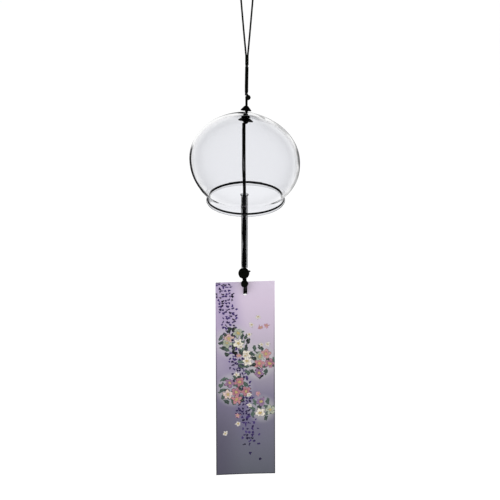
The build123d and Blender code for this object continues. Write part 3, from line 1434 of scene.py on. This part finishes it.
@dataclass
class Clapper:
    """The cord inside the bell, the knots on it and the glass tube.

    The cord's way off the axis and its strands' spread change between depths below the hook, and
    it is packed between two depths inside the tube, all in millimetres.
    """

    above_end: float = -100.1 * MM
    above_steps: int = 20
    above_spread: float = 0.5 * MM
    above_turn: Span = (2.2, 1.6)
    below_bearing: float = 1.2 * MM
    above_ball: float = 3.6 * MM
    steps: int = 280
    strand: float = 0.62 * MM
    width: float = 2.6 * MM
    off_axis: tuple[Change, ...] = ((-1.35, 105.0, 108.0), (0.5, 138.0, 163.0))
    spread: float = 0.60
    spreads: tuple[Change, ...] = ((0.06, 108.0, 118.0), (-0.14, 138.0, 162.0))
    sway: float = 0.45
    sway_start: float = 107.0
    sway_length: float = 11.0
    packed_between: Span = (164.5, 219.5)
    packed_strand: float = 0.78 * MM
    packed_spread: float = 0.72 * MM
    packed_aside: float = -0.2 * MM
    packed_turn: float = 7.0
    cut_end_strand: float = 0.6 * MM

    def bearing(self, finish: Material) -> Piece:
        """The knot that carries the inner cap, with the cord above it.

        Args:
            finish: The cord's material.

        Returns:
            The dressed piece.
        """
        line = upright(0.0, np.linspace(BEARING_Z, self.above_end, self.above_steps))
        turn = np.linspace(*self.above_turn, self.above_steps)
        above = pair(line, self.above_spread, turn, STRAND_R)
        piece = joined(BEARING_KNOT.shape(), above).build("bearing_knot_tied", finish)
        return dress(piece, "swivel", "bearing_knot")

    def cord(self, finish: Material) -> Piece:
        """The two strands from the bearing knot to the ball knot, packed where they fill the tube.

        Args:
            finish: The cord's material.

        Returns:
            The dressed piece.
        """
        top, foot = BEARING_Z - self.below_bearing, BALL_Z + self.above_ball
        height = np.linspace(top, foot, self.steps)
        down = -height / MM
        line = upright(eased(0.0, self.off_axis, down) * MM, height)
        spread = eased(self.spread, self.spreads, down) * MM
        phase = self.sway * np.sin((down - self.sway_start) / self.sway_length)
        loose = pair(line, spread, phase, self.strand)
        begins, ends = self.packed_between
        packed = line[(down > begins) & (down < ends)] + np.array((self.packed_aside, 0, 0))
        winding = np.linspace(0, self.packed_turn, len(packed))
        filling = pair(packed, self.packed_spread, winding, self.packed_strand)
        piece = joined(loose, filling).build("clapper_cord_pair", finish)
        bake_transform(piece)
        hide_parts("clapper_cord")
        return piece

    def tube(self, finish: Material) -> Piece:
        """The glass tube with its flared upper lip."""
        piece = CLAPPER_TUBE.shape().build("clapper_tube_glass", finish, ALL_SMOOTH)
        return dress(piece, "tube", "clapper_tube")

    def ball(self, finish: Material) -> Piece:
        """The woven ball knot under the tube, with the cord's cut end.

        Args:
            finish: The cord's material.

        Returns:
            The dressed piece.
        """
        cut_end = route(
            [
                (0.0012, 0, BALL_Z + 0.0010),
                (0.0024, -0.0004, BALL_Z + 0.0016),
                (0.0031, -0.0008, BALL_Z + 0.0020),
            ]
        )
        end = tube(cut_end, self.cut_end_strand)
        piece = joined(BALL_KNOT.shape(), end).build("ball_knot_tied", finish)
        return dress(piece, "clapper", "ball_knot")


@dataclass
class WindStrip:
    """The paper strip, its knot and the doubled cord through its hole.

    The bow grows between two places down the strip. The link's strands touch, so that their spread
    is their radius.
    """

    columns: int = 20
    rows: int = 72
    hole_frame: float = 2.2 * MM
    hole_steps: int = 4
    bow: float = 0.5 * MM
    bow_grows: Span = (20.0 * MM, 90.0 * MM)
    loop_strand: float = 0.66 * MM
    loop_spread: float = 0.7 * MM
    loop_spacing: float = 0.25 * MM
    link: float = 0.75 * MM
    link_turn: float = 0.4
    link_steps: int = 14
    link_end: float = BALL_Z - 3.9 * MM

    def hung(self, points: np.ndarray) -> np.ndarray:
        """Leans and turns upright points as the strip hangs.

        Args:
            points: Points of the upright strip, one row each.

        Returns:
            The points where they hang.
        """
        lean = Matrix.Rotation(STRIP_LEAN, 3, "X")
        yaw = Matrix.Rotation(STRIP_YAW, 3, "Z")
        pivot = np.array((0, 0, STRIP_KNOT_Z))
        return ((points - pivot) @ np.array(lean).T + pivot) @ np.array(yaw).T

    def sheet_places(self) -> tuple[np.ndarray, list[Face], list[list[int]]]:
        """The flat strip as (across, down) places, with its hole.

        Returns:
            The places in metres, the faces, and the loops round its outside and its hole.
        """
        across = np.linspace(-STRIP_W / 2, STRIP_W / 2, self.columns + 1)
        down = np.linspace(0, STRIP_L, self.rows + 1)
        nearest = int(np.argmin(abs(down - STRIP_HOLE_BELOW)))
        for beside in (-1, 0, 1):
            down[nearest + beside] = STRIP_HOLE_BELOW + beside * self.hole_frame
        middle, row = self.columns // 2, self.columns + 1
        places = [(a, d) for d in down for a in across]
        faces = []
        for r in range(self.rows):
            for c in range(self.columns):
                if r in (nearest - 1, nearest) and c in (middle - 1, middle):
                    continue
                here, below = r * row + c, (r + 1) * row + c
                faces.append((here, here + 1, below + 1, below))
        around = [(0, 1), (-1, 1), (-1, 0), (-1, -1), (0, -1), (1, -1), (1, 0), (1, 1)]
        frame = [(nearest + r) * row + middle + c for r, c in around]
        first, steps = len(places), self.hole_steps
        count = len(frame) * steps
        for k in range(count):
            t = TURN * k / count
            places.append((STRIP_HOLE_R * math.cos(t), STRIP_HOLE_BELOW - STRIP_HOLE_R * math.sin(t)))
        for k in range(count):
            following = first + (k + 1) % count
            near, far = (frame[(k + i + steps // 2) // steps % len(frame)] for i in (0, 1))
            faces.append((first + k, following, near))
            if far != near:
                faces.append((following, far, near))
        outside = list(range(row)) + [r * row + self.columns for r in range(1, self.rows + 1)]
        outside += [self.rows * row + c for c in range(self.columns - 1, -1, -1)]
        outside += [r * row for r in range(self.rows - 1, 0, -1)]
        return np.array(places), faces, [outside, list(range(first, first + count))]

    def paper(self, finish: Material) -> Piece:
        """The printed strip, with its thickness and a slight bow.

        Args:
            finish: The paper's material.

        Returns:
            The dressed piece.
        """
        places, faces, loops = self.sheet_places()
        count = len(places)
        bow = self.bow * (1 - (2 * places[:, 0] / STRIP_W) ** 2) * smooth(*self.bow_grows, places[:, 1])
        layers = []
        for side in (-1, 1):
            y = STRIP_PLANE_Y + side * STRIP_T / 2 + bow
            layers.append(np.stack([places[:, 0] + STRIP_X, y, STRIP_TOP_Z - places[:, 1]], axis=1))
        walls = []
        for loop in loops:
            for a, b in zip(loop, loop[1:] + loop[:1]):
                walls.append((a, b, count + b, count + a))
        both = [f[::-1] for f in faces] + [tuple(count + i for i in f) for f in faces] + walls
        shape = Shape().add(self.hung(np.vstack(layers)), both, np.vstack([places, places]) / MM)
        piece = dress(shape.build("printed_strip", finish, CRISP), "strip", "wind_strip")
        return piece

    def loop(self, finish: Material) -> Piece:
        """The doubled cord from the knot, through the hole and back up behind the paper.

        Args:
            finish: The cord's material.

        Returns:
            The dressed piece.
        """
        front, back = 2.35 * MM, 4.15 * MM
        through, over = -241.35 * MM, -231.9 * MM
        strands = []
        for x in (STRIP_X - self.loop_spread, STRIP_X + self.loop_spread):
            line = route(
                [
                    (x, 0.3 * MM, STRIP_KNOT_Z - 1.6 * MM),
                    (x, 1.2 * MM, STRIP_KNOT_Z - 4.0 * MM),
                    (x, front - 0.1 * MM, through + 1.75 * MM),
                    (x, front, through),
                    (x, back, through),
                    (x, back + 0.05 * MM, through + 3.0 * MM),
                    (x, back + 0.05 * MM, over - 2.0 * MM),
                    (x, back, over),
                    (x, 1.2 * MM, over),
                ]
            )
            strands.append(tube(self.hung(spaced(line, self.loop_spacing)), self.loop_strand))
        return dress(joined(*strands).build("strip_loop_cord", finish), "strip", "strip_loop")

    def knot(self, finish: Material) -> Piece:
        """The knot above the strip, with the short link of cord up to the ball knot.

        Args:
            finish: The cord's material.

        Returns:
            The dressed piece.
        """
        line = upright(CLAPPER_X, np.linspace(STRIP_KNOT_Z, self.link_end, self.link_steps))
        turn = np.linspace(0.0, self.link_turn, self.link_steps)
        link = pair(line, self.link, turn, self.link)
        piece = joined(STRIP_KNOT.shape(), link).build("strip_knot_tied", finish)
        return dress(piece, "strip_swivel", "strip_knot")


@dataclass(frozen=True)
class EdgeCard:
    """A narrow dark card in the room, which shows along the glass's edge at one angle.

    Its half width, the width over which it fades, and its start and reach from the line of sight
    are shares of a way's length.
    """

    angle: float
    half: float
    strength: float
    soft: float = 0.06
    start: Span = (0.0, 0.05)
    reach: Span = (0.46, 0.56)

    def mask(self, graph: Graph, across: Socket, above: Socket) -> Socket:
        """Tells which ways lead to the card.

        Args:
            graph: The world's graph.
            across: How far each way leads to the right of the line of sight.
            above: How far it leads above it.

        Returns:
            The mask.
        """
        cosine, sine = math.cos(math.radians(self.angle)), math.sin(math.radians(self.angle))
        outward = graph.math("MULTIPLY_ADD", across, cosine, graph.times(above, sine))
        aside = graph.math("MULTIPLY_ADD", above, cosine, graph.times(across, -sine))
        near = graph.step(graph.math("ABSOLUTE", aside), self.half + self.soft, self.half)
        begun, ended = graph.step(outward, *self.start), graph.step(outward, *self.reach)
        within = graph.math("SUBTRACT", begun, ended)
        return graph.times(near, within, self.strength)


@dataclass
class Studio:
    """The white studio: floor, surroundings, lights and the camera of the photograph.

    Ways are told by their parts ahead, across and above. The backdrop brightens ahead, and a dark
    corner lies low on the left of it, below a slanting edge.
    """

    elevation: float = 24.5
    distance: float = 12.0
    across: float = 0.3575
    sensor: float = 36.0
    aim: Point = (0.0031, 0.0, -0.2063)
    middle: Point = (0.0, 0.0, -0.19)
    floor_z: float = -0.62
    floor_half: float = 6.0
    floor_glow: float = 0.35
    room: Colour = (0.03, 0.03, 0.032, 1.0)
    card: Colour = (0.015, 0.015, 0.017, 1.0)
    through: Colour = (0.95, 0.957, 0.99, 1.0)
    diffuse: Colour = (0.65, 0.65, 0.65, 1.0)
    backdrop: Span = (0.42, 0.84)
    corner_slope: float = 0.36
    corner_edge: Span = (-0.03, 0.05)
    corner_ahead: Span = (0.83, 0.89)
    cards: tuple[EdgeCard, ...] = (
        EdgeCard(97.0, 0.01, 1.0),
        EdgeCard(50.0, 0.02, 0.4),
        EdgeCard(9.0, 0.05, 0.8),
        EdgeCard(-20.0, 0.07, 0.5),
        EdgeCard(-48.0, 0.05, 0.3),
    )

    def floor(self) -> None:
        """A plain pale floor, well below the strip, that a view from below looks through."""
        finish = Finish("pale_floor", (0.92, 0.92, 0.92, 1.0), 0.9, specular=0.1)
        material, graph, main = finish.start()
        main.inputs["Emission Color"].default_value = WHITE
        main.inputs["Emission Strength"].default_value = self.floor_glow
        side = graph.node("ShaderNodeMixShader")
        graph.put(graph.node("ShaderNodeNewGeometry").outputs["Backfacing"], side.inputs[0])
        graph.put(main.outputs[0], side.inputs[1])
        graph.put(graph.node("ShaderNodeBsdfTransparent").outputs[0], side.inputs[2])
        graph.put(side.outputs[0], material.node_tree.nodes["Material Output"].inputs["Surface"])
        half, z = self.floor_half, self.floor_z
        corners = np.array([(-half, -half, z), (half, -half, z), (half, half, z), (-half, half, z)])
        floor = Shape().add(corners, [(0, 1, 2, 3)]).build("floor", material)
        floor.visible_glossy = False
        floor.visible_transmission = False

    def surroundings(self) -> None:
        """A white backdrop behind the glass, a dark room round it, and dark cards for its edges."""
        world = bpy.data.worlds.new("studio")
        bpy.context.scene.world = world
        world.use_nodes = True
        graph = Graph(world.node_tree)
        shown = world.node_tree.nodes["Background"]
        path = graph.node("ShaderNodeLightPath").outputs
        way = graph.node("ShaderNodeTexCoord").outputs["Generated"]
        tilt = math.radians(self.elevation)
        ahead, across, above = (
            graph.vector("DOT_PRODUCT", way, axis, out="Value")
            for axis in (
                (0.0, math.cos(tilt), -math.sin(tilt)),
                (1.0, 0.0, 0.0),
                (0.0, math.sin(tilt), math.cos(tilt)),
            )
        )
        bright = graph.mix(graph.step(ahead, *self.backdrop), self.room, WHITE)
        slant = graph.math("MULTIPLY_ADD", across, self.corner_slope, above)
        corner = graph.fade(graph.math("MAXIMUM", slant, across), *self.corner_edge)
        dark = graph.times(corner, graph.step(ahead, *self.corner_ahead))
        for card in self.cards:
            dark = graph.math("MAXIMUM", dark, card.mask(graph, across, above))
        mirrored = graph.mix(dark, bright, self.card)
        glossy = graph.math("MINIMUM", path["Glossy Depth"], 1.0)
        seen = graph.mix(glossy, self.through, mirrored)
        lit = graph.mix(path["Is Diffuse Ray"], seen, self.diffuse)
        graph.put(graph.mix(path["Is Camera Ray"], lit, WHITE), shown.inputs["Color"])
        shown.inputs["Strength"].default_value = 1.0

    def light(self, name: str, place: Point, size: Span, power: float) -> None:
        """A soft box that points at the middle of the part.

        Args:
            name: The light's name.
            place: Where it stands.
            size: Its width and height.
            power: Its power in watts.
        """
        data = bpy.data.lights.new(name, "AREA")
        data.shape = "RECTANGLE"
        data.size, data.size_y = size
        data.energy = power
        lamp = bpy.data.objects.new(name, data)
        lamp.location = place
        lamp.visible_glossy = False
        lamp.visible_transmission = False
        lamp.rotation_euler = (Vector(self.middle) - Vector(place)).to_track_quat("-Z", "Y").to_euler()
        bpy.context.scene.collection.objects.link(lamp)

    def camera(self) -> None:
        """The camera, far away with a long lens, as the photograph's parallel edges ask."""
        data = bpy.data.cameras.new("camera")
        data.sensor_width = self.sensor
        data.lens = self.sensor * self.distance / self.across
        data.clip_start, data.clip_end = 0.05, 60.0
        eye = bpy.data.objects.new("camera", data)
        tilt = math.radians(self.elevation)
        back = Vector((0, -math.cos(tilt), math.sin(tilt)))
        eye.location = Vector(self.aim) + back * self.distance
        eye.rotation_euler = (-back).to_track_quat("-Z", "Y").to_euler()
        bpy.context.scene.collection.objects.link(eye)
        bpy.context.scene.camera = eye

    def settings(self) -> None:
        """Plain colours and enough bounces for four layers of glass."""
        scene = bpy.context.scene
        scene.view_settings.view_transform = "Standard"
        scene.cycles.max_bounces = 28
        scene.cycles.transmission_bounces = 24
        scene.cycles.glossy_bounces = 12
        scene.cycles.transparent_max_bounces = 16

    def build(self) -> None:
        """Sets the whole studio up."""
        self.floor()
        self.surroundings()
        self.light("key", place=(-0.9, -0.9, 0.7), size=(0.5, 0.9), power=7.0)
        self.light("fill", place=(1.1, -0.5, 0.3), size=(0.4, 1.0), power=3.0)
        self.camera()
        self.settings()


def main() -> None:
    """Loads the frame, dresses every piece and sets up the studio."""
    logging.basicConfig(level=logging.INFO, format="%(message)s")
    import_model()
    cord, plastic, rubber = CORD.material(), PLASTIC.material(), RUBBER.material()
    glass, tube_glass, paper = GLASS.material(), TUBE_GLASS.material(), PAPER.material()
    hanging, bell, clapper, strip = HangingCord(), Bell(), Clapper(), WindStrip()
    made = [
        hanging.loop(cord),
        hanging.neck(cord),
        hanging.knot(cord),
        bell.outer_cap(plastic),
        bell.glass(glass),
        bell.washer(rubber),
        bell.inner_cap(plastic),
        clapper.bearing(cord),
        clapper.cord(cord),
        clapper.tube(tube_glass),
        clapper.ball(cord),
        strip.knot(cord),
        strip.loop(cord),
        strip.paper(paper),
    ]
    for piece in made:
        LOG.info("%s: %d faces", piece.name, len(piece.data.polygons))
    Studio().build()
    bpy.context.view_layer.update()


if __name__ == "__main__":
    main()
